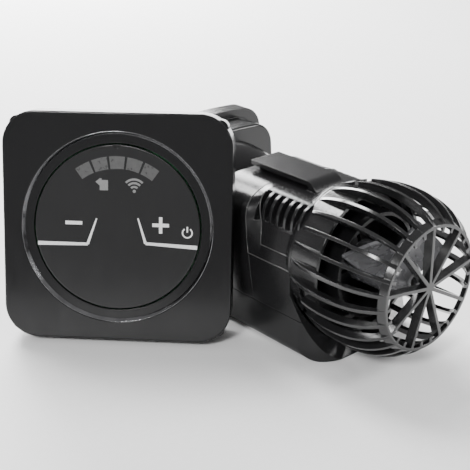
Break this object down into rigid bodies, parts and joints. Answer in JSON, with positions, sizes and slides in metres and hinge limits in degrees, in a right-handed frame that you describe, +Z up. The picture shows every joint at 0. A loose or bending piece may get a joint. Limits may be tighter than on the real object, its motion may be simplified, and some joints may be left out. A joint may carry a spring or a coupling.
{
  "type": "wave maker pump",
  "caption": "Aquarium wave maker pump: ribbed cage over a propeller, finned motor housing on a swivelling two-part magnet holder, with a loose square controller.",
  "frame": {"origin": "on the flat underside of the pump, straight below the joint between the motor housing and the cage, on the pump's centre plane", "axes": "+Z up; -Y is where the pump's nose points, +Y is towards the magnet holder and the glass; +X to the right seen from behind the nose"},
  "size_m": [0.1521, 0.1601, 0.0989],
  "materials": {
    "housing_plastic": "satin black moulded ABS, fine spark texture",
    "cage_plastic": "satin black moulded plastic",
    "well_plastic": "satin black moulded plastic",
    "propeller_plastic": "smoky dark grey plastic",
    "rotor_plastic": "black plastic overmould",
    "soft_rubber": "matt black rubber",
    "lamination_steel": "varnished steel sheets",
    "copper_winding": "enamelled copper wire",
    "board_laminate": "green circuit board",
    "board_component": "black moulded components",
    "white_ceramic": "ground alumina",
    "ferrite": "dark sintered ferrite",
    "nickel_magnet": "nickel-plated",
    "stainless_screw": "stainless steel",
    "magnet_case_plastic": "semi-gloss black plastic",
    "controller_gloss": "piano black, polished",
    "controller_ring": "polished black chamfer",
    "keypad_gloss": "piano black panel",
    "light_window": "smoked translucent grey, unlit",
    "controller_inner": "black plastic",
    "controller_case": "satin black plastic",
    "light_chip": "small white light chips",
    "socket_plastic": "black socket bodies",
    "adhesive_foam": "pale foam tape"
  },
  "bodies": {
    "pump_body": {"motor_housing": "housing_plastic", "keel_cover": "housing_plastic", "rear_cowl": "housing_plastic", "rotor_well": "well_plastic", "flange_seal": "soft_rubber", "stator_core": "lamination_steel", "stator_coils": "copper_winding", "driver_board": "board_laminate", "driver_parts": "board_component", "ceramic_shaft": "white_ceramic", "rear_bush": "soft_rubber", "dish_magnet": "nickel_magnet", "cable_gland": "soft_rubber", "keel_screws": "stainless_screw"},
    "rotor": {"front_bush": "white_ceramic", "rotor_magnet": "ferrite", "rotor_sleeve": "rotor_plastic", "propeller": "propeller_plastic"},
    "cage": {"impeller_cage": "cage_plastic"},
    "swivel": {"swivel_liner": "soft_rubber"},
    "holder": {"holder_housing": "magnet_case_plastic", "holder_magnet": "nickel_magnet", "holder_cover": "magnet_case_plastic", "holder_pad": "soft_rubber"},
    "outer": {"outer_pad": "soft_rubber", "outer_housing": "magnet_case_plastic", "outer_cover": "magnet_case_plastic", "outer_magnet": "nickel_magnet", "outer_grip": "magnet_case_plastic"},
    "controller": {"controller_shell": "controller_gloss", "bevel_ring": "controller_ring", "pivot_bearings": "controller_inner", "controller_board": "board_laminate", "board_leds": "light_chip", "key_switches": "board_component", "board_parts": "board_component", "controller_rear_case": "controller_case", "controller_screws": "stainless_screw", "power_socket": "socket_plastic", "pump_socket": "socket_plastic", "wall_pads": "adhesive_foam"},
    "keypad": {"keypad_disc": "keypad_gloss", "led_windows": "light_window"}
  },
  "joints": [
    {"name": "rotor_spin", "type": "hinge", "parent": "pump_body", "child": "rotor", "pos_m": [0, -0.02, 0.039], "axis": [0, -1, 0], "continuous": true},
    {"name": "cage_twist", "type": "hinge", "parent": "pump_body", "child": "cage", "pos_m": [0, -0.005, 0.039], "axis": [0, 1, 0], "range_deg": [0, 16]},
    {"name": "swivel_pan", "type": "hinge", "parent": "pump_body", "child": "swivel", "pos_m": [0, 0.075, 0.039], "axis": [0, 0, 1], "range_deg": [-20, 20]},
    {"name": "swivel_tilt", "type": "hinge", "parent": "swivel", "child": "holder", "pos_m": [0, 0.075, 0.039], "axis": [1, 0, 0], "range_deg": [-20, 20]},
    {"name": "outer_pull", "type": "slide", "parent": "holder", "child": "outer", "axis": [0, 1, 0], "range_m": [0, 0.03], "stiffness_N_per_m": 250, "springref_m": -0.04},
    {"name": "controller_lift", "type": "slide", "parent": "pump_body", "child": "controller", "axis": [0, 0, 1], "range_m": [0, 0.12]},
    {"name": "keypad_rock", "type": "hinge", "parent": "controller", "child": "keypad", "pos_m": [-0.07219, 0.06412, 0.04988], "axis": [0.1651, 0.1602, 0.9732], "range_deg": [-1, 1], "stiffness_Nm_per_rad": 2}
  ]
}
